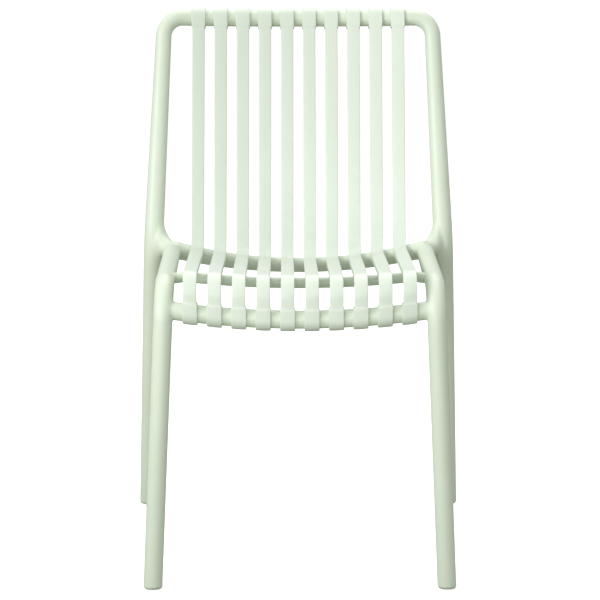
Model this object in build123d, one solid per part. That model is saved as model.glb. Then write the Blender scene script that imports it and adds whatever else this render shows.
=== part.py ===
from build123d import *
import math
import os

# Stacking side chair: two moulded side frames, four cross rails, ten one-piece
# straps that run from the top rail down the back, over the seat and round the
# front rail, and a plug-in glide in each foot.  Millimetres, +Z up, the sitter
# faces -Y.  Origin on the floor, under the middle of the chair.

# ---------------------------------------------------------------- dimensions
Y0 = 274.75            # distance from the front feet's line back to the origin

WALL = 4.5             # wall of the hollow frame members
JOINT_X = 158.4        # rail to side-frame joint, under the outermost straps
TENON_LEN = 24.0       # length of each rail's spigot
FIT = 0.06             # radial clearance of a spigot in its socket
GAP = 0.15             # clearance of a strap on the rails it touches

# side frame, rear leg and upright: (x, y, z) of the line's corners
REAR_FOOT = (244.7, 504.0, 0.0)
KNEE = (228.6, 420.0, 440.0)
R_REAR_FOOT, R_KNEE, R_CORNER, R_TOP = 13.5, 15.1, 12.4, 12.8
KNEE_BEND, TOP_BEND = 130.0, 31.5
CORNER_X = 212.4       # where the upright's line meets the top rail's
# side frame, front leg and seat side rail
FRONT_FOOT = (214.3, 0.0, 0.0)
FRONT_CORNER = (195.4, 20.5, 441.5)
SIDE_END = (198.0, 396.0, 433.2)
BRANCH_END = (228.0, 434.0, 446.0)
GUSSET = ((204.0, 404.0, 436.0), (224.0, 436.0, 470.0))
R_FRONT_FOOT, R_FRONT, R_SIDE, R_BRANCH, R_GUSSET = 13.7, 14.0, 13.2, 12.4, 7.5
FRONT_BEND, BRANCH_BEND = 52.0, 30.0

# rails: (y, z) at the middle, (y, z) at x = span, span, tube radius
TOP_RAIL = dict(mid=(547.0, 785.5), end=(531.0, 787.7), span=158.4, r=12.8)
REAR_RAIL = dict(mid=(408.0, 409.0), end=(391.0, 435.2), span=190.0, r=11.6)
SUPPORT_RAIL = dict(mid=(100.0, 433.6), end=(100.0, 445.6), span=190.0, r=7.9)
FRONT_RAIL = dict(mid=(25.6, 392.6), end=(25.6, 406.0), span=185.0, r=13.2)

# straps
STRAPS = 10
PITCH = 35.2
STRAP_W = 19.5
STRAP_T = 8.0
COLLAR_W = 21.7
COLLAR_TOP_R = 17.0
COLLAR_FRONT_R = 16.6
PROUD = 0.7            # how far the collars stand out past the strap's face
BEND_R = 40.0          # seat to back bend, on the sitter's side
NOSE_R = 32.0          # bend over the seat's front edge, outside
CONTACT = math.radians(63)   # where the bend touches the rear rail

# glides
FLANGE = 5.0
STEM = 24.0


# ------------------------------------------------------------------- helpers
def rail_at(rail, x):
    """(y, z) of a rail's centre at x; the rail is one circular arc."""
    dy = rail["end"][0] - rail["mid"][0]
    dz = rail["end"][1] - rail["mid"][1]
    s = math.hypot(dy, dz)
    big = (rail["span"] ** 2 + s * s) / (2 * s)
    d = big - math.sqrt(big * big - x * x)
    return rail["mid"][0] + d * dy / s, rail["mid"][1] + d * dz / s


def rail_point(rail, x):
    y, z = rail_at(rail, x)
    return Vector(x, y - Y0, z)


def rail_tangent(rail, x):
    a, b = rail_point(rail, x - 0.05), rail_point(rail, x + 0.05)
    return (b - a).normalized()


def arc_tube(rail, x0, x1, r):
    path = Edge.make_three_point_arc(
        rail_point(rail, x0), rail_point(rail, (x0 + x1) / 2), rail_point(rail, x1)
    )
    start = Plane(origin=rail_point(rail, x0), z_dir=path % 0)
    return Solid(sweep(start * Circle(r), path=path).solids()[0].wrapped)


def bent_tube(points, bends, radii):
    """Straight cones joined by tangent arcs of constant section."""
    pts = [Vector(*p) for p in points]
    pieces, here, r_here = [], pts[0], radii[0]
    for i in range(1, len(pts) - 1):
        a = (pts[i] - pts[i - 1]).normalized()
        b = (pts[i + 1] - pts[i]).normalized()
        turn = math.acos(max(-1, min(1, a.dot(b))))
        cut = bends[i - 1] * math.tan(turn / 2)
        t0, t1 = pts[i] - a * cut, pts[i] + b * cut
        pieces.append(cone(here, t0, r_here, radii[i]))
        n = a.cross(b).normalized()
        centre = t0 + n.cross(a).normalized() * bends[i - 1]
        m = (pts[i] - centre).normalized() * bends[i - 1] + centre
        path = Edge.make_three_point_arc(t0, m, t1)
        pieces.append(
            Solid(sweep(Plane(origin=t0, z_dir=a) * Circle(radii[i]), path=path).solids()[0].wrapped)
        )
        here, r_here = t1, radii[i]
    pieces.append(cone(here, pts[-1], r_here, radii[-1]))
    return pieces


def cone(p, q, r0, r1):
    h = (q - p).length
    pl = Plane(origin=p, z_dir=(q - p).normalized())
    if abs(r0 - r1) < 1e-6:
        return Solid.make_cylinder(r0, h, pl)
    return Solid.make_cone(r0, r1, h, pl)


def fused(pieces):
    out = Part() + pieces[0]
    for s in pieces[1:]:
        out = out + s
    return out


def shifted(p):
    return (p[0], p[1] - Y0, p[2])


def extend_down(p, q, d=30.0):
    """p moved d further away from q along the line."""
    a, b = Vector(*p), Vector(*q)
    v = a + (a - b).normalized() * d
    return (v.X, v.Y, v.Z)


# --------------------------------------------------------------- side frame
def rear_member(dr):
    """Rear leg, upright, top corner and the top rail's stub, dr off the radius."""
    s = rail_point(TOP_RAIL, JOINT_X)
    t = rail_tangent(TOP_RAIL, JOINT_X)
    k = Vector(*shifted(KNEE))
    corner = s + t * ((CORNER_X - s.X) / t.X)
    pts = [extend_down(shifted(REAR_FOOT), shifted(KNEE)), (k.X, k.Y, k.Z),
           (corner.X, corner.Y, corner.Z), (s.X, s.Y, s.Z)]
    radii = [R_REAR_FOOT - dr, R_KNEE - dr, R_CORNER - dr, R_TOP - dr]
    return bent_tube(pts, [KNEE_BEND, TOP_BEND], radii)


def front_member(dr):
    """Front leg, seat side rail and its branch up into the upright."""
    pts = [extend_down(shifted(FRONT_FOOT), shifted(FRONT_CORNER)), shifted(FRONT_CORNER),
           shifted(SIDE_END), shifted(BRANCH_END)]
    radii = [R_FRONT_FOOT - dr, R_FRONT - dr, R_SIDE - dr, R_BRANCH - dr]
    return bent_tube(pts, [FRONT_BEND, BRANCH_BEND], radii)


SOCKETS = [(TOP_RAIL, 8.2), (REAR_RAIL, 7.4), (SUPPORT_RAIL, 4.6), (FRONT_RAIL, 8.8)]
STUB_TO = {id(REAR_RAIL): 195.0, id(SUPPORT_RAIL): 192.0, id(FRONT_RAIL): 195.0}


def floor_slab(z0, z1):
    return Pos(0, 0, (z0 + z1) / 2) * Box(1200, 1200, z1 - z0)


def make_side_frame():
    outer = fused(rear_member(0)) + fused(front_member(0))
    low, high = Vector(*shifted(GUSSET[0])), Vector(*shifted(GUSSET[1]))
    outer = outer + cone(low, high, R_GUSSET + 1.5, R_GUSSET)
    for rail, _ in SOCKETS[1:]:
        outer = outer + arc_tube(rail, JOINT_X, STUB_TO[id(rail)], rail["r"])
    hollow = fused(rear_member(WALL)) + fused(front_member(WALL)[:4])
    frame = outer - hollow
    for rail, r in SOCKETS:
        frame = frame - arc_tube(rail, JOINT_X - 0.5, JOINT_X + TENON_LEN + 0.5, r)
    frame = frame - floor_slab(-80, FLANGE)
    return frame


def make_rail(rail, socket):
    body = arc_tube(rail, -JOINT_X, JOINT_X, rail["r"])
    spigot = arc_tube(rail, -JOINT_X - TENON_LEN, JOINT_X + TENON_LEN, socket - FIT)
    core = arc_tube(rail, -JOINT_X - TENON_LEN - 1, JOINT_X + TENON_LEN + 1, max(2.4, socket - 3.2))
    return (Part() + body + spigot) - core


# -------------------------------------------------------------------- glides
def make_glide(foot, top, r_foot, bore):
    p = Vector(*shifted(foot))
    axis = (Vector(*shifted(top)) - p).normalized()
    low = p - axis * 20
    flange = Part() + Solid.make_cylinder(r_foot, 60, Plane(origin=low, z_dir=axis))
    flange = flange & floor_slab(0, FLANGE)
    rim = flange.edges().group_by(Axis.Z)[0]
    flange = fillet(rim, 2.6)
    stem = Part() + Solid.make_cylinder(bore, FLANGE + STEM, Plane(origin=p + axis * 0.2, z_dir=axis))
    stem = stem & floor_slab(2.0, 60)
    plug = flange + stem
    for k in range(3):
        z = FLANGE + 5 + 6 * k
        ring = Solid.make_cylinder(bore + 1, 2.0, Plane(origin=p + axis * z, z_dir=axis))
        core = Solid.make_cylinder(bore - 1.0, 2.4, Plane(origin=p + axis * (z - 0.2), z_dir=axis))
        plug = plug - (Part() + ring - core)
    return plug


# -------------------------------------------------------------------- straps
def tangent(c0, r0, s0, c1, r1, s1):
    """Touch points of the line that runs from circle 0 to circle 1, keeping
    each circle on its left (s = 1) or right (s = -1)."""
    dx, dy = c1[0] - c0[0], c1[1] - c0[1]
    d = math.hypot(dx, dy)
    base = math.atan2(dy, dx)
    a = base + math.asin((s0 * r0 - s1 * r1) / d)
    nx, ny = -math.sin(a), math.cos(a)
    return ((c0[0] - nx * s0 * r0, c0[1] - ny * s0 * r0),
            (c1[0] - nx * s1 * r1, c1[1] - ny * s1 * r1), a)


def strap_circles(x):
    top, rear = rail_at(TOP_RAIL, x), rail_at(REAR_RAIL, x)
    sup, front = rail_at(SUPPORT_RAIL, x), rail_at(FRONT_RAIL, x)
    # the plane at x cuts the sloping rail in an ellipse, long along its sag
    reach = BEND_R + STRAP_T + GAP + REAR_RAIL["r"] / rail_tangent(REAR_RAIL, x).X
    bend = (rear[0] - reach * math.cos(CONTACT), rear[1] + reach * math.sin(CONTACT))
    lo, hi = 380.0, 470.0
    for _ in range(60):
        zf = (lo + hi) / 2
        nose = (front[0] - COLLAR_FRONT_R + PROUD + NOSE_R, zf)
        p, q, a = tangent(bend, BEND_R, -1, nose, NOSE_R, 1)
        # height of the line's underside over the support rail
        ux, uz = math.cos(a), math.sin(a)
        dist = abs((sup[0] - p[0]) * uz - (sup[1] - p[1]) * ux)
        if dist > SUPPORT_RAIL["r"] + GAP + STRAP_T:
            hi = zf
        else:
            lo = zf
    return top, bend, nose, front


def strap_wire(x):
    """Closed outline of a strap's body in the plane at x, collars left solid."""
    top, bend, nose, front = strap_circles(x)
    t = STRAP_T
    # outside, from the top collar forwards and down to the front collar
    r_top = COLLAR_TOP_R - PROUD
    a0, a1, th1 = tangent(top, r_top, 1, bend, BEND_R, -1)
    b0, b1, th2 = tangent(bend, BEND_R, -1, nose, NOSE_R, 1)
    c0, c1 = (nose[0] - NOSE_R, nose[1]), (front[0] - COLLAR_FRONT_R + PROUD, front[1])
    def mid(c, r, p, q, sign=1):
        ax, ay = p[0] + q[0] - 2 * c[0], p[1] + q[1] - 2 * c[1]
        n = math.hypot(ax, ay) * sign
        return (c[0] + ax / n * r, c[1] + ay / n * r)

    def inward(p, c, r_from, r_to):
        return (c[0] + (p[0] - c[0]) * r_to / r_from, c[1] + (p[1] - c[1]) * r_to / r_from)

    ia0 = inward(a0, top, r_top, r_top - t)
    ia1 = inward(a1, bend, BEND_R, BEND_R + t)
    ib0 = inward(b0, bend, BEND_R, BEND_R + t)
    ib1 = inward(b1, nose, NOSE_R, NOSE_R - t)
    ic0 = (c0[0] + t, c0[1])
    ic1 = (c1[0] + t, c1[1])

    def v(p):
        return Vector(x, p[0] - Y0, p[1])

    e = [
        Edge.make_line(v(a0), v(a1)),
        Edge.make_three_point_arc(v(a1), v(mid(bend, BEND_R, a1, b0)), v(b0)),
        Edge.make_line(v(b0), v(b1)),
        Edge.make_three_point_arc(v(b1), v(mid(nose, NOSE_R, b1, c0)), v(c0)),
        Edge.make_line(v(c0), v(c1)),
        Edge.make_line(v(c1), v(ic1)),
        Edge.make_line(v(ic1), v(ic0)),
        Edge.make_three_point_arc(v(ic0), v(mid(nose, NOSE_R - t, ic0, ib1)), v(ib1)),
        Edge.make_line(v(ib1), v(ib0)),
        Edge.make_three_point_arc(v(ib0), v(mid(bend, BEND_R + t, ib0, ia1)), v(ia1)),
        Edge.make_line(v(ia1), v(ia0)),
        Edge.make_line(v(ia0), v(a0)),
    ]
    return Wire(e)


def collar(rail, x, r, w):
    p, d = rail_point(rail, x), rail_tangent(rail, x)
    return Solid.make_cylinder(r, w, Plane(origin=p - d * (w / 2), z_dir=d))


def make_strap(x):
    body = Solid.make_loft([strap_wire(x - STRAP_W / 2), strap_wire(x + STRAP_W / 2)], ruled=True)
    s = Part() + body
    s = s + collar(TOP_RAIL, x, COLLAR_TOP_R, COLLAR_W)
    s = s + collar(FRONT_RAIL, x, COLLAR_FRONT_R, COLLAR_W)
    s = s - collar(TOP_RAIL, x, TOP_RAIL["r"] + GAP, COLLAR_W + 8)
    s = s - collar(FRONT_RAIL, x, FRONT_RAIL["r"] + GAP, COLLAR_W + 8)
    return s


# --------------------------------------------------------------------- build
def save(shape, name):
    export_step(shape, f"parts/{name}.step")


def main():
    os.makedirs("parts", exist_ok=True)
    for f in os.listdir("parts"):
        os.remove(os.path.join("parts", f))

    right = make_side_frame()
    save(right, "side_frame_right")
    save(mirror(right, about=Plane.YZ), "side_frame_left")

    save(make_rail(TOP_RAIL, 8.2), "top_rail")
    save(make_rail(REAR_RAIL, 7.4), "rear_seat_rail")
    save(make_rail(SUPPORT_RAIL, 4.6), "seat_support_rail")
    save(make_rail(FRONT_RAIL, 8.8), "front_rail")

    rear = make_glide(REAR_FOOT, KNEE, R_REAR_FOOT, R_REAR_FOOT - WALL - FIT)
    front = make_glide(FRONT_FOOT, FRONT_CORNER, R_FRONT_FOOT, R_FRONT_FOOT - WALL - FIT)
    save(rear, "glide_rear_right")
    save(mirror(rear, about=Plane.YZ), "glide_rear_left")
    save(front, "glide_front_right")
    save(mirror(front, about=Plane.YZ), "glide_front_left")

    for k in range(STRAPS):
        x = (k - (STRAPS - 1) / 2) * PITCH
        save(make_strap(x), f"strap_{k + 1:02d}")


main()
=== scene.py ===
import math

import bpy
import numpy as np
from mathutils import Matrix, Vector


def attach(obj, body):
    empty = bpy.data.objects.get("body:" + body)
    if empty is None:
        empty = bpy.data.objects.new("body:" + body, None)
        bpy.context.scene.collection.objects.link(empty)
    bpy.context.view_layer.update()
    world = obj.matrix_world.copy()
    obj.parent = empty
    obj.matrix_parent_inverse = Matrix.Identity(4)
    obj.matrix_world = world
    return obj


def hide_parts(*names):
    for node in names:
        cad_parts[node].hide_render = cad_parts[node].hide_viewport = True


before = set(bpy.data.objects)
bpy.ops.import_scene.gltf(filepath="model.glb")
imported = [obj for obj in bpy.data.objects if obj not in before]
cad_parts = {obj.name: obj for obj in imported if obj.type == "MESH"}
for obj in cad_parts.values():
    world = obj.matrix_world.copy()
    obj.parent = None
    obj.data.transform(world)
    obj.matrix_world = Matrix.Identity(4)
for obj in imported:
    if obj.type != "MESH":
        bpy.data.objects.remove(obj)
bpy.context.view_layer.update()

# ------------------------------------------------------------------ dimensions
# The chair's own sizes in millimetres, as in the CAD model: Y runs back from the
# front feet's line, and Y0 moves it to the frame's origin.
Y0 = 274.75
JOINT_X = 158.4
REAR_FOOT = (244.7, 504.0, 0.0)
KNEE = (228.6, 420.0, 440.0)
R_REAR_FOOT, R_KNEE, R_CORNER, R_TOP = 13.5, 15.1, 12.4, 12.8
KNEE_BEND, TOP_BEND, CORNER_X = 130.0, 31.5, 212.4
FRONT_FOOT = (214.3, 0.0, 0.0)
FRONT_CORNER = (195.4, 20.5, 441.5)
SIDE_END = (198.0, 396.0, 433.2)
BRANCH_END = (217.2, 420.3, 441.4)
R_FRONT_FOOT, R_FRONT, R_SIDE, R_BRANCH = 13.7, 14.0, 13.2, 12.4
FRONT_BEND, BRANCH_BEND = 52.0, 30.0
TOP_RAIL = dict(mid=(547.0, 785.5), end=(531.0, 787.7), span=158.4, r=12.8, flare=0.0)
REAR_RAIL = dict(mid=(408.0, 409.0), end=(391.0, 435.2), span=190.0, r=11.3, flare=1.5)
SUPPORT_RAIL = dict(mid=(100.0, 433.6), end=(100.0, 445.6), span=190.0, r=7.9, flare=0.0)
FRONT_RAIL = dict(mid=(25.6, 392.6), end=(25.6, 406.0), span=185.0, r=13.2, flare=0.0)
PITCH, STRAP_W, STRAP_T, COLLAR_W = 35.2, 19.5, 8.0, 21.7
COLLAR_TOP_R, COLLAR_FRONT_R, PROUD, GAP = 17.0, 16.6, 0.7, 0.15
BEND_R, NOSE_R, CONTACT = 40.0, 32.0, math.radians(63)
FLANGE = 5.0


def rail_radius(rail, x):
    return rail["r"] + rail["flare"] * (np.abs(x) / 158.4) ** 2


def rail_at(rail, x):
    dy = rail["end"][0] - rail["mid"][0]
    dz = rail["end"][1] - rail["mid"][1]
    s = math.hypot(dy, dz)
    big = (rail["span"] ** 2 + s * s) / (2 * s)
    d = big - np.sqrt(big * big - np.asarray(x, float) ** 2)
    return rail["mid"][0] + d * dy / s, rail["mid"][1] + d * dz / s


def rail_point(rail, x):
    y, z = rail_at(rail, x)
    return np.array([float(x), float(y), float(z)])


def rail_tangent(rail, x):
    v = rail_point(rail, x + 0.05) - rail_point(rail, x - 0.05)
    return v / np.linalg.norm(v)


# ---------------------------------------------------------------- mesh helpers
def to_frame(v):
    """Millimetres from the front feet's line to the frame's metres."""
    v = np.array(v, float)
    v[:, 1] -= Y0
    return v / 1000.0


def make_mesh(name, verts, faces, normals=None):
    me = bpy.data.meshes.new(name)
    me.from_pydata([tuple(p) for p in verts], [], [tuple(map(int, f)) for f in faces])
    me.validate()
    me.update()
    me.polygons.foreach_set("use_smooth", [True] * len(me.polygons))
    if normals is not None and len(normals) == len(me.vertices):
        me.normals_split_custom_set_from_vertices([tuple(n) for n in normals])
    ob = bpy.data.objects.new(name, me)
    bpy.context.scene.collection.objects.link(ob)
    return ob


def loft(name, rings, weighted=True):
    """A closed skin over a list of closed rings of equal length, with centred end fans."""
    rings = [np.asarray(r) for r in rings]
    n, m = len(rings), len(rings[0])
    v = np.concatenate(rings + [rings[0].mean(0)[None], rings[-1].mean(0)[None]])
    f = []
    for i in range(n - 1):
        for j in range(m):
            k = (j + 1) % m
            f.append((i * m + j, i * m + k, (i + 1) * m + k, (i + 1) * m + j))
    a, b = n * m, n * m + 1
    for j in range(m):
        k = (j + 1) % m
        f.append((a, k, j))
        f.append((b, (n - 1) * m + j, (n - 1) * m + k))
    ob = make_mesh(name, to_frame(v), f)
    bm_fix(ob)
    if weighted:
        w = ob.modifiers.new("weighted", "WEIGHTED_NORMAL")
        w.weight = 80
    return ob


def bm_fix(ob):
    import bmesh

    bm = bmesh.new()
    bm.from_mesh(ob.data)
    bmesh.ops.recalc_face_normals(bm, faces=bm.faces)
    bm.to_mesh(ob.data)
    bm.free()
    ob.data.polygons.foreach_set("use_smooth", [True] * len(ob.data.polygons))


# ------------------------------------------------- implicit tubes, side frames
def seg(p, q, r0, r1):
    return ("seg", np.array(p, float), np.array(q, float), r0, r1)


def path_pieces(points, bends, radii):
    pts = [np.array(p, float) for p in points]
    out, here, r_here = [], pts[0], radii[0]
    for i in range(1, len(pts) - 1):
        a = pts[i] - pts[i - 1]
        b = pts[i + 1] - pts[i]
        a, b = a / np.linalg.norm(a), b / np.linalg.norm(b)
        turn = math.acos(max(-1, min(1, float(a @ b))))
        big = bends[i - 1]
        cut = big * math.tan(turn / 2)
        t0, t1 = pts[i] - a * cut, pts[i] + b * cut
        out.append(seg(here, t0, r_here, radii[i]))
        n = np.cross(a, b)
        n /= np.linalg.norm(n)
        inward = np.cross(n, a)
        out.append(("arc", t0 + inward * big, -inward, a, n, big, turn, radii[i]))
        here, r_here = t1, radii[i]
    out.append(seg(here, pts[-1], r_here, radii[-1]))
    return out


def piece_distance(P, s):
    if s[0] == "seg":
        _, p, q, r0, r1 = s
        d = q - p
        t = np.clip(((P - p) @ d) / (d @ d), 0, 1)
        return np.linalg.norm(P - p - t[:, None] * d, axis=1) - (r0 + (r1 - r0) * t)
    _, c, e0, e1, n, big, turn, r = s
    v = P - c
    x, y, h = v @ e0, v @ e1, v @ n
    ang = np.arctan2(y, x)
    mid = turn / 2
    ang = np.clip((ang - mid + math.pi) % (2 * math.pi) - math.pi, -mid, mid) + mid
    px, py = big * np.cos(ang), big * np.sin(ang)
    return np.sqrt((x - px) ** 2 + (y - py) ** 2 + h * h) - r


def tube_distance(P, pieces):
    d = piece_distance(P, pieces[0])
    for s in pieces[1:]:
        d = np.minimum(d, piece_distance(P, s))
    return d


def smooth_min(a, b, k):
    h = np.maximum(k - np.abs(a - b), 0) / k
    return np.minimum(a, b) - h * h * k / 4


def extend(p, q, d=30.0):
    a, b = np.array(p, float), np.array(q, float)
    return a + (a - b) / np.linalg.norm(a - b) * d


STUB0 = rail_point(TOP_RAIL, JOINT_X)
TAN0 = rail_tangent(TOP_RAIL, JOINT_X)
CORNER = STUB0 + TAN0 * ((CORNER_X - STUB0[0]) / TAN0[0])
REAR = path_pieces(
    [extend(REAR_FOOT, KNEE), KNEE, CORNER, STUB0 - TAN0 * 1.0],
    [KNEE_BEND, TOP_BEND],
    [R_REAR_FOOT, R_KNEE, R_CORNER, R_TOP],
)
FRONT = path_pieces(
    [extend(FRONT_FOOT, FRONT_CORNER), FRONT_CORNER, SIDE_END, BRANCH_END],
    [FRONT_BEND, BRANCH_BEND],
    [R_FRONT_FOOT, R_FRONT, R_SIDE, R_BRANCH],
)


def rail_stub(rail, x1, n=14):
    xs = np.linspace(JOINT_X - 1.0, x1, n)
    return [
        seg(rail_point(rail, a), rail_point(rail, b), rail_radius(rail, a), rail_radius(rail, b))
        for a, b in zip(xs[:-1], xs[1:])
    ]


REAR_STUB = rail_stub(REAR_RAIL, 190.0)
SUPPORT_STUB = rail_stub(SUPPORT_RAIL, 160.0, 3)
for x0, z0, x1, z1 in [(160.0, 442.11, 166.0, 442.5), (166.0, 442.5, 171.0, 442.4), (171.0, 442.4, 175.5, 441.9), (175.5, 441.9, 179.0, 441.2)]:
    SUPPORT_STUB.append(seg((x0, 100.0, z0), (x1, 100.0, z1), 7.9, 7.9))
FRONT_STUB = rail_stub(FRONT_RAIL, 196.0)


def ease(t):
    t = np.clip(t, 0, 1)
    return t * t * (3 - 2 * t)


def side_field(P):
    """Signed distance to the right side frame, blended where its members meet.
    The web in the Y is on the sitter's side and above, so the outside stays straight."""
    inner = ease((KNEE[0] + 2.0 - P[:, 0]) / 14.0)
    above = ease((P[:, 2] - 418.0) / 26.0)
    d = smooth_min(tube_distance(P, REAR), tube_distance(P, FRONT), 5.0 + 19.0 * inner * (0.5 + 0.5 * above))
    d = smooth_min(d, tube_distance(P, REAR_STUB), 8.0)
    d = smooth_min(d, tube_distance(P, SUPPORT_STUB), 3.5)
    d = smooth_min(d, tube_distance(P, FRONT_STUB), 3.5)
    d = np.maximum(d, 2.6 - P[:, 2])
    return np.maximum(d, (JOINT_X - 0.4) - P[:, 0])


def gradient(field, P, h=0.05):
    g = np.zeros_like(P)
    for i in range(3):
        e = np.zeros(3)
        e[i] = h
        g[:, i] = (field(P + e) - field(P - e)) / (2 * h)
    return g


def polygonise(field, lo, hi, step, project=3):
    """Surface nets over a narrow band, then each point is moved onto the exact surface."""
    lo = np.array(lo, float)
    cells = 4
    n = (np.ceil((np.array(hi) - lo) / step / cells).astype(int) + 1) * cells
    block = step * cells
    nb = n // cells
    bx, by, bz = np.meshgrid(*[np.arange(k) for k in nb], indexing="ij")
    centre = np.stack([bx, by, bz], -1).reshape(-1, 3) * block + lo + block / 2
    middle = field(centre)
    near = np.abs(middle) < block * 0.9 + step * 1.5
    full = np.full(tuple(n + 1), 1e3, np.float32)
    every = np.stack([bx, by, bz], -1).reshape(-1, 3)
    idx = every[near]
    off = np.stack(np.meshgrid(*[np.arange(cells + 1)] * 3, indexing="ij"), -1).reshape(-1, 3)
    for part in every[~near & (middle < 0)]:
        a = part * cells
        full[a[0] : a[0] + cells + 1, a[1] : a[1] + cells + 1, a[2] : a[2] + cells + 1] = -1e3
    for start in range(0, len(idx), 1500):
        part = idx[start : start + 1500]
        g = (part[:, None, :] * cells + off[None]).reshape(-1, 3)
        vals = field(g * step + lo)
        full[g[:, 0], g[:, 1], g[:, 2]] = vals
    inside = full < 0
    corners = [
        inside[i : i - 1 or None, j : j - 1 or None, k : k - 1 or None]
        for i in (0, 1) for j in (0, 1) for k in (0, 1)
    ]
    count = sum(c.astype(np.int8) for c in corners)
    mixed = (count > 0) & (count < 8)
    ids = np.full(mixed.shape, -1, int)
    at = np.argwhere(mixed)
    ids[mixed] = np.arange(len(at))
    acc = np.zeros((len(at), 3))
    num = np.zeros(len(at))
    cube = [(i, j, k) for i in (0, 1) for j in (0, 1) for k in (0, 1)]
    for a in range(8):
        for b in range(a + 1, 8):
            ca, cb = np.array(cube[a]), np.array(cube[b])
            if abs(ca - cb).sum() != 1:
                continue
            pa, pb = at + ca, at + cb
            va = full[pa[:, 0], pa[:, 1], pa[:, 2]].astype(float)
            vb = full[pb[:, 0], pb[:, 1], pb[:, 2]].astype(float)
            cross = (va < 0) != (vb < 0)
            t = np.where(cross, va / np.where(cross, va - vb, 1), 0)
            acc += np.where(cross[:, None], pa + (pb - pa) * t[:, None], 0)
            num += cross
    P = acc / num[:, None] * step + lo
    quads = []
    for axis in range(3):
        u, w = [(1, 2), (2, 0), (0, 1)][axis]
        sl0, sl1 = [slice(None)] * 3, [slice(None)] * 3
        sl0[axis], sl1[axis] = slice(0, -1), slice(1, None)
        a, b = inside[tuple(sl0)], inside[tuple(sl1)]
        e = np.argwhere(a != b)
        e = e[(e[:, u] > 0) & (e[:, w] > 0) & (e[:, u] < mixed.shape[u]) & (e[:, w] < mixed.shape[w])]
        flip = ~a[e[:, 0], e[:, 1], e[:, 2]]
        du, dw = np.zeros(3, int), np.zeros(3, int)
        du[u], dw[w] = 1, 1
        c = [e, e - du, e - du - dw, e - dw]
        q = np.stack([ids[k[:, 0], k[:, 1], k[:, 2]] for k in c], 1)
        q[flip] = q[flip][:, ::-1]
        quads.append(q)
    quads = np.concatenate(quads)
    for _ in range(project):
        g = gradient(field, P)
        g2 = (g * g).sum(1)
        move = field(P)[:, None] * g / np.maximum(g2, 0.2)[:, None]
        length = np.linalg.norm(move, axis=1)
        move *= np.minimum(1, step * 0.6 / np.maximum(length, 1e-9))[:, None]
        P = P - move
    return P, quads


def relax(P, quads, field, rounds=8, keep=None):
    """Evens out the net by sliding points towards their neighbours, then back onto the surface."""
    e = np.concatenate([quads[:, [0, 1]], quads[:, [1, 2]], quads[:, [2, 3]], quads[:, [3, 0]]])
    e = np.concatenate([e, e[:, ::-1]])
    for _ in range(rounds):
        s = np.zeros_like(P)
        c = np.zeros(len(P))
        np.add.at(s, e[:, 0], P[e[:, 1]])
        np.add.at(c, e[:, 0], 1)
        target = s / c[:, None]
        g = gradient(field, P)
        g /= np.linalg.norm(g, axis=1)[:, None] + 1e-9
        d = (target - P) * 0.7
        d -= (d * g).sum(1)[:, None] * g
        if keep is not None:
            d[keep(P)] = 0
        P = P + d
        P = P - field(P)[:, None] * g * 0.95
    return P


STEP = 2.1
side_p, side_q = polygonise(side_field, (154.0, -18.0, -2.0), (264.0, 566.0, 800.0), STEP)
side_p = relax(side_p, side_q, side_field, 10, lambda P: (P[:, 2] < 4.6) | (P[:, 0] < JOINT_X + 1.5))
side_n = gradient(side_field, side_p)
side_n /= np.linalg.norm(side_n, axis=1)[:, None] + 1e-9
mirror = np.array([-1.0, 1, 1])
pieces = {}
pieces["side_frame_right"] = make_mesh("side_frame_right_skin", to_frame(side_p), side_q, side_n)
pieces["side_frame_left"] = make_mesh(
    "side_frame_left_skin", to_frame(side_p * mirror), side_q[:, ::-1], side_n * mirror
)


# ------------------------------------------------------------------------ rails
def rail_skin(name, rail, n=140, m=56):
    rings = []
    xs = np.linspace(-JOINT_X, JOINT_X, n)
    xs = np.concatenate([[xs[0]], xs, [xs[-1]]])
    for i, x in enumerate(xs):
        t = rail_tangent(rail, x)
        up = np.array([0.0, 0, 1]) - t * t[2]
        up /= np.linalg.norm(up)
        side = np.cross(t, up)
        r = rail_radius(rail, x) - (0.2 if i in (0, len(xs) - 1) else 0)
        a = np.linspace(0, 2 * math.pi, m, endpoint=False)
        rings.append(rail_point(rail, x) + r * (np.cos(a)[:, None] * up + np.sin(a)[:, None] * side))
    return loft(name, rings, weighted=False)


for node, rail in [("top_rail", TOP_RAIL), ("rear_seat_rail", REAR_RAIL),
                   ("seat_support_rail", SUPPORT_RAIL), ("front_rail", FRONT_RAIL)]:
    pieces[node] = rail_skin(node + "_skin", rail)


# ----------------------------------------------------------------------- straps
def tangent(c0, r0, s0, c1, r1, s1):
    dx, dy = c1[0] - c0[0], c1[1] - c0[1]
    a = math.atan2(dy, dx) + math.asin((s0 * r0 - s1 * r1) / math.hypot(dx, dy))
    nx, ny = -math.sin(a), math.cos(a)
    return (np.array([c0[0] - nx * s0 * r0, c0[1] - ny * s0 * r0]),
            np.array([c1[0] - nx * s1 * r1, c1[1] - ny * s1 * r1]), a)


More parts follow.
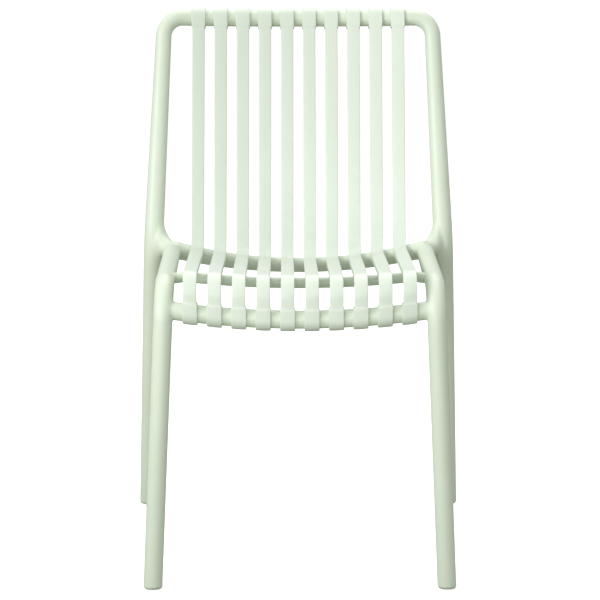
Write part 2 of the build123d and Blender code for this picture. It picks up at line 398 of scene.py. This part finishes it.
def circles(x):
    top, rear = rail_at(TOP_RAIL, x), rail_at(REAR_RAIL, x)
    sup, front = rail_at(SUPPORT_RAIL, x), rail_at(FRONT_RAIL, x)
    reach = BEND_R + STRAP_T + GAP + REAR_RAIL["r"] / rail_tangent(REAR_RAIL, x)[0]
    bend = (rear[0] - reach * math.cos(CONTACT), rear[1] + reach * math.sin(CONTACT))
    lo, hi = 380.0, 470.0
    for _ in range(50):
        zf = (lo + hi) / 2
        nose = (front[0] - COLLAR_FRONT_R + PROUD + NOSE_R, zf)
        p, q, a = tangent(bend, BEND_R, -1, nose, NOSE_R, 1)
        dist = abs((sup[0] - p[0]) * math.sin(a) - (sup[1] - p[1]) * math.cos(a))
        if dist > SUPPORT_RAIL["r"] + GAP + STRAP_T:
            hi = zf
        else:
            lo = zf
    return [np.array(c, float) for c in (top, bend, nose, front)]


def arc_points(c, p, q, n, long_way=False):
    """n + 1 unit directions from p round to q about c."""
    a, b = math.atan2(p[1] - c[1], p[0] - c[0]), math.atan2(q[1] - c[1], q[0] - c[0])
    d = (b - a + math.pi) % (2 * math.pi) - math.pi
    t = a + d * np.linspace(0, 1, n + 1)
    return np.stack([np.cos(t), np.sin(t)], 1)


def strap_profile(x):
    """Outer and inner edge of a strap in the plane at x, sampled alike for every x.
    The two ends go round the rails; w is the width there and is the same for every x."""
    top, bend, nose, front = circles(x)
    r_top = COLLAR_TOP_R - PROUD
    a0, a1, _ = tangent(top, r_top, 1, bend, BEND_R, -1)
    b0, b1, _ = tangent(bend, BEND_R, -1, nose, NOSE_R, 1)
    c0, c1 = nose + [-NOSE_R, 0], np.array([nose[0] - NOSE_R, front[1]])
    outer, inner, width, kind = [], [], [], []

    def add(o, i, w):
        outer.extend(np.atleast_2d(o))
        inner.extend(np.atleast_2d(i))
        width.extend(np.atleast_1d(w) if np.ndim(w) else [w] * len(np.atleast_2d(o)))

    def ring(c, r_out, r_in, tip, turn, n):
        """Directions round a rail, from its tail to where the strap leaves (tip)."""
        close = r_out - PROUD - STRAP_T + 0.3
        end_o, end_i = math.acos(close / r_out), math.acos(close / r_in)
        t = np.linspace(0, 1, n + 1)
        full_o, full_i = 2 * math.pi - end_o, 2 * math.pi - end_i
        a_o = tip + turn * full_o * (1 - t)
        a_i = tip + turn * full_i * (1 - t)
        o = c + r_out * np.stack([np.cos(a_o), np.sin(a_o)], 1)
        i = c + r_in * np.stack([np.cos(a_i), np.sin(a_i)], 1)
        return o, i

    def run(p, q, n, start, end):
        """A straight from p to q; it hugs a rail of bore start or end at that end."""
        L = np.linalg.norm(q - p)
        d = (q - p) / L
        m = np.array([-d[1], d[0]])
        if m @ inward < 0:
            m = -m
        base = np.linspace(0, 1, n + 1)
        if start or end:
            hug = math.sqrt(BORE**2 - (ROUT - STRAP_T) ** 2)
            near = np.concatenate([np.linspace(0, hug, 9), hug + np.array([1.5, 3.5, 5.5, 7.0, 8.5, 11.0])])
            s = np.concatenate([near, np.linspace(near[-1], L, n)[1:]])
            th = ROUT - np.sqrt(np.maximum(BORE**2 - s**2, (ROUT - STRAP_T) ** 2))
            shoulder = (s - SHOULDER) / 3.0
            w = COLLAR_W + (STRAP_W - COLLAR_W) * np.clip(shoulder, 0, 1) ** 2 * (3 - 2 * np.clip(shoulder, 0, 1))
            lift = PROUD * (1 - np.clip((s - SHOULDER + 0.5) / 3.0, 0, 1) ** 2 * (3 - 2 * np.clip((s - SHOULDER + 0.5) / 3.0, 0, 1)))
            if end:
                s, th, w, lift = (L - s)[::-1], th[::-1], w[::-1], lift[::-1]
        else:
            s, th, w, lift = base * L, np.full(n + 1, STRAP_T), STRAP_W, 0
        mid = p + np.outer(s, d)
        return mid - np.outer(np.broadcast_to(lift, len(s)), m), mid + th[:, None] * m, w

    # round the top rail, from under it, over the top, to the front of it
    BORE, ROUT, SHOULDER = TOP_RAIL["r"] + GAP, r_top, COLLAR_TOP_R - 1.0
    tip = math.atan2(*(a0 - top)[::-1])
    o, i = ring(top, COLLAR_TOP_R, BORE, tip, 1.0 if _cross(a1 - a0, a0 - top) > 0 else -1.0, 44)
    add(o[:-1], i[:-1], COLLAR_W)
    inward = top - a0
    o, i, w = run(a0, a1, 40, True, False)
    add(o, i, w)
    u = arc_points(bend, a1, b0, 34)[1:]
    add(bend + u * BEND_R, bend + u * (BEND_R + STRAP_T), STRAP_W)
    inward = b0 - bend
    o, i, w = run(b0, b1, 40, False, False)
    add(o[1:], i[1:], w)
    u = arc_points(nose, b1, c0, 30)[1:]
    add(nose + u * NOSE_R, nose + u * (NOSE_R - STRAP_T), STRAP_W)
    BORE, ROUT, SHOULDER = FRONT_RAIL["r"] + GAP, COLLAR_FRONT_R - PROUD, COLLAR_FRONT_R - 1.0
    inward = np.array([1.0, 0])
    o, i, w = run(c0, c1, 12, False, True)
    add(o[1:], i[1:], w[1:])
    o, i = ring(front, COLLAR_FRONT_R, BORE, math.pi, 1.0, 44)
    add(o[::-1][1:], i[::-1][1:], COLLAR_W)
    return np.array(outer), np.array(inner), np.array(width, float)


def _cross(a, b):
    return a[0] * b[1] - a[1] * b[0]


def section(w, t, crown=0.42, big=1.1, small=0.8, n=5):
    """Rounded rectangle: u across, v from the outer face (0) to the inner face (t)."""
    big, small = min(big, t * 0.46), min(small, t * 0.4)
    pts = []
    half = w / 2

    def corner(cx, cy, r, a0):
        for k in range(n + 1):
            a = a0 + math.pi / 2 * k / n
            pts.append((cx + r * math.cos(a), cy + r * math.sin(a)))

    def flat(u0, u1, v, k):
        for j in range(1, k + 1):
            pts.append((u0 + (u1 - u0) * j / (k + 1), v))

    corner(half - small, t - small, small, 0)
    flat(half - small, -half + small, t, 3)
    corner(-half + small, t - small, small, math.pi / 2)
    corner(-half + big, big, big, math.pi)
    flat(-half + big, half - big, 0, 5)
    corner(half - big, big, big, 1.5 * math.pi)
    p = np.array(pts)
    edge = np.clip(1 - (p[:, 1] / max(t, 1e-6)) * 2, 0, 1)
    p[:, 1] -= crown * edge * (1 - (p[:, 0] / half) ** 2)
    return p


def strap_skin(name, x0):
    planes = [x0 - 11.0, x0, x0 + 11.0]
    prof = [strap_profile(x) for x in planes]
    width = prof[1][2]
    rings = []
    for k in range(len(width)):
        o = [p[0][k] for p in prof]
        i = [p[1][k] for p in prof]
        t = float(np.linalg.norm(o[1] - i[1]))
        w = width[k]
        if k in (0, len(width) - 1):
            w -= 1.0
        s = section(w, t)
        u = s[:, 0] / 11.0
        l0, l1, l2 = u * (u - 1) / 2, 1 - u * u, u * (u + 1) / 2
        O = l0[:, None] * o[0] + l1[:, None] * o[1] + l2[:, None] * o[2]
        I = l0[:, None] * i[0] + l1[:, None] * i[1] + l2[:, None] * i[2]
        yz = O + (I - O) * (s[:, 1] / t)[:, None]
        rings.append(np.column_stack([x0 + s[:, 0], yz]))
    return loft(name, rings)


for k in range(10):
    node = f"strap_{k + 1:02d}"
    pieces[node] = strap_skin(node + "_skin", (k - 4.5) * PITCH)


# ----------------------------------------------------------------------- glides
def glide_skin(name, foot, top, r, side):
    foot, top = np.array(foot, float), np.array(top, float)
    axis = (top - foot) / np.linalg.norm(top - foot)
    outline = []                      # (height, radius) from the middle of the sole out and up
    lip = 4.4
    for a, b in [(1.0, 0.0), (1.0, r * 0.42), (0.9, r * 0.46), (0.35, r * 0.50), (0.0, r * 0.54)]:
        outline.append((a, b))
    outline.append((0.0, r - lip))
    for q in np.linspace(0, math.pi / 2, 11)[1:]:
        outline.append((lip * (1 - math.cos(q)), r - lip + lip * math.sin(q) + 0.15))
    outline += [(FLANGE - 0.45, r + 0.2), (FLANGE - 0.12, r + 0.08), (FLANGE, r - 0.35), (FLANGE, r - 5.0)]
    rings = []
    a = np.linspace(0, 2 * math.pi, 64, endpoint=False)
    for h, rad in outline[1:]:
        c = foot + axis * (h / axis[2])
        ring = np.stack([c[0] + rad * np.cos(a), c[1] + rad * np.sin(a), np.full(64, h)], 1)
        rings.append(ring)
    for R in rings:
        R[:, 0] *= side
    return loft(name, rings, weighted=False)


for end, foot, top, r in [("rear", REAR_FOOT, KNEE, R_REAR_FOOT), ("front", FRONT_FOOT, FRONT_CORNER, R_FRONT_FOOT)]:
    for word, side in [("left", -1), ("right", 1)]:
        node = f"glide_{end}_{word}"
        pieces[node] = glide_skin(node + "_skin", foot, top, r, side)


# -------------------------------------------------------------------- materials
def polypropylene(name, light, dark, rough, grain):
    """Fine satin moulded plastic: pigment drift, spark-eroded grain, scuffs, and convex edges painted lighter as a
    highlight and made glossier.
    """
    m = bpy.data.materials.new(name)
    m.use_nodes = True
    nt = m.node_tree
    nt.nodes.clear()
    N = nt.nodes.new

    def link(a, b):
        nt.links.new(a, b)

    out = N("ShaderNodeOutputMaterial")
    bsdf = N("ShaderNodeBsdfPrincipled")
    link(bsdf.outputs["BSDF"], out.inputs["Surface"])
    bsdf.inputs["IOR"].default_value = 1.49
    bsdf.inputs["Subsurface Weight"].default_value = 0.0
    coord = N("ShaderNodeTexCoord").outputs["Object"]

    def noise(scale, detail=2.0, roughness=0.5, vec=None):
        n = N("ShaderNodeTexNoise")
        n.inputs["Scale"].default_value = scale
        n.inputs["Detail"].default_value = detail
        n.inputs["Roughness"].default_value = roughness
        link(vec or coord, n.inputs["Vector"])
        return n.outputs["Fac"]

    def ramp(v, lo, hi, a, b):
        r = N("ShaderNodeMapRange")
        r.inputs["From Min"].default_value = lo
        r.inputs["From Max"].default_value = hi
        r.inputs["To Min"].default_value = a
        r.inputs["To Max"].default_value = b
        link(v, r.inputs["Value"])
        return r.outputs["Result"]

    def math_node(op, a, b):
        n = N("ShaderNodeMath")
        n.operation = op
        for k, v in enumerate((a, b)):
            if isinstance(v, (int, float)):
                n.inputs[k].default_value = v
            else:
                link(v, n.inputs[k])
        return n.outputs[0]

    def mix(fac, a, b):
        n = N("ShaderNodeMix")
        n.data_type = "RGBA"
        for v, s in ((fac, n.inputs[0]), (a, n.inputs[6]), (b, n.inputs[7])):
            if isinstance(v, (int, float)):
                s.default_value = v
            elif isinstance(v, tuple):
                s.default_value = (*v, 1.0)
            else:
                link(v, s)
        return n.outputs[2]

    drift = ramp(noise(7.0, 3.0), 0.3, 0.7, 0.0, 1.0)
    fleck = ramp(noise(900.0, 2.0), 0.35, 0.7, 0.0, 0.14)
    colour = mix(drift, light, dark)
    colour = mix(fleck, colour, tuple(c * 0.80 for c in dark))
    # Painted highlight: convex edges (high pointiness) get a lighter colour, mottled by noise; the same mask also
    # lowers the roughness there.
    point = N("ShaderNodeNewGeometry").outputs["Pointiness"]
    edge = ramp(point, 0.515, 0.60, 0.0, 0.5)
    edge_highlight_and_gloss = math_node("MULTIPLY", edge, ramp(noise(60.0, 3.0), 0.4, 0.65, 0.25, 1.0))
    colour = mix(edge_highlight_and_gloss, colour, tuple(min(1.0, c * 1.13) for c in light))
    link(colour, bsdf.inputs["Base Color"])

    mapping = N("ShaderNodeMapping")
    mapping.inputs["Scale"].default_value = (1.0, 0.35, 0.35)
    link(coord, mapping.inputs["Vector"])
    scuff = ramp(noise(240.0, 6.0, 0.7, mapping.outputs["Vector"]), 0.56, 0.74, 0.0, 0.12)
    rough_v = math_node("ADD", ramp(noise(22.0, 3.0), 0.3, 0.7, rough - 0.035, rough + 0.035), scuff)
    rough_v = math_node("SUBTRACT", rough_v, math_node("MULTIPLY", edge_highlight_and_gloss, 0.10))
    link(rough_v, bsdf.inputs["Roughness"])

    fine = noise(1500.0, 2.0, 0.55)
    wave = noise(38.0, 2.0)
    height = math_node("ADD", math_node("MULTIPLY", fine, 0.5), math_node("MULTIPLY", wave, 1.4))
    bump = N("ShaderNodeBump")
    bump.inputs["Strength"].default_value = grain
    bump.inputs["Distance"].default_value = 0.00022
    link(height, bump.inputs["Height"])
    link(bump.outputs["Normal"], bsdf.inputs["Normal"])
    return m


def srgb(r, g, b):
    return tuple(c / 12.92 if c <= 0.04045 else ((c + 0.055) / 1.055) ** 2.4 for c in (r / 255, g / 255, b / 255))


MATS = {
    "frame_plastic": polypropylene("sage_frame", srgb(215, 226, 208), srgb(210, 221, 202), 0.41, 0.35),
    "strap_plastic": polypropylene("sage_strap", srgb(217, 227, 213), srgb(212, 222, 208), 0.40, 0.40),
    "glide_plastic": polypropylene("sage_glide", srgb(206, 217, 199), srgb(199, 211, 191), 0.50, 0.30),
}
for node, ob in pieces.items():
    kind = "strap_plastic" if node.startswith("strap") else "glide_plastic" if node.startswith("glide") else "frame_plastic"
    ob.data.materials.clear()
    ob.data.materials.append(MATS[kind])
    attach(ob, "root")
    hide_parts(node)

# ------------------------------------------------------------- floor and light
bpy.ops.mesh.primitive_plane_add(size=40, location=(0, 4, -0.0002))
floor = bpy.context.object
floor.name = "studio_floor"
fm = bpy.data.materials.new("studio_floor")
fm.use_nodes = True
fb = fm.node_tree.nodes["Principled BSDF"]
fb.inputs["Base Color"].default_value = (0.95, 0.95, 0.95, 1)
fb.inputs["Roughness"].default_value = 0.9
fb.inputs["Specular IOR Level"].default_value = 0.1
fb.inputs["Emission Color"].default_value = (1, 1, 1, 1)
fb.inputs["Emission Strength"].default_value = 0.42
floor.data.materials.append(fm)
for flag in ("visible_diffuse", "visible_glossy", "visible_transmission", "visible_shadow"):
    setattr(floor, flag, False)
bpy.ops.mesh.primitive_plane_add(size=40, location=(0, 4, -0.0010))
bounce = bpy.context.object
bounce.name = "bounce_card"
bm_ = fm.copy()
bm_.name = "bounce_card"
bm_.node_tree.nodes["Principled BSDF"].inputs["Base Color"].default_value = (0.30, 0.32, 0.26, 1)
bm_.node_tree.nodes["Principled BSDF"].inputs["Emission Strength"].default_value = 0.0
bounce.data.materials.append(bm_)
bounce.visible_camera = False

world = bpy.data.worlds.new("studio")
bpy.context.scene.world = world
world.use_nodes = True
bg = world.node_tree.nodes.get("Background") or world.node_tree.nodes.new("ShaderNodeBackground")
bg.inputs["Color"].default_value = (1.0, 1.0, 1.0, 1)
bg.inputs["Strength"].default_value = 0.66
if not bg.outputs[0].links:
    wo = world.node_tree.nodes.new("ShaderNodeOutputWorld")
    world.node_tree.links.new(bg.outputs[0], wo.inputs[0])


def area(name, loc, aim, size, power, spread=180):
    d = bpy.data.lights.new(name, "AREA")
    d.shape = "RECTANGLE"
    d.size, d.size_y = size
    d.energy = power
    d.spread = math.radians(spread)
    o = bpy.data.objects.new(name, d)
    bpy.context.scene.collection.objects.link(o)
    o.location = loc
    o.rotation_mode = "QUATERNION"
    o.rotation_quaternion = (Vector(aim) - Vector(loc)).to_track_quat("-Z", "Y")
    return o


area("key", (-3.2, -2.1, 2.2), (0, 0, 0.78), (1.7, 1.7), 8.7, spread=52)
area("front", (-0.5, -1.6, 0.6), (0, 0, 0.50), (1.0, 0.6), 1.38, spread=70)
area("glint", (-0.60, -2.20, 2.25), (0.05, 0.2, 0.60), (0.5, 0.8), 4.0)
area("right", (2.6, -2.4, 1.8), (0, 0, 0.45), (1.7, 1.7), 5)
area("back", (0.4, 1.5, 3.1), (0, 0, 0.45), (2.5, 2.0), 43)

# ----------------------------------------------------------------------- camera
D, H, PITCH_DOWN, F_PX = 3.9521, 1.1333, 10.147, 2806.2
SIDE = -0.022
cam_data = bpy.data.cameras.new("camera")
cam = bpy.data.objects.new("camera", cam_data)
bpy.context.scene.collection.objects.link(cam)
cam_data.sensor_width = 36.0
cam_data.lens = F_PX * 36.0 / 600.0
cam_data.clip_start, cam_data.clip_end = 0.1, 100
cam.location = (SIDE, -D - Y0 / 1000, H)
cam.rotation_euler = (math.radians(90 - PITCH_DOWN), 0, math.atan2(SIDE, D))
bpy.context.scene.camera = cam
bpy.context.scene.view_settings.view_transform = "Standard"
bpy.context.scene.view_settings.look = "None"
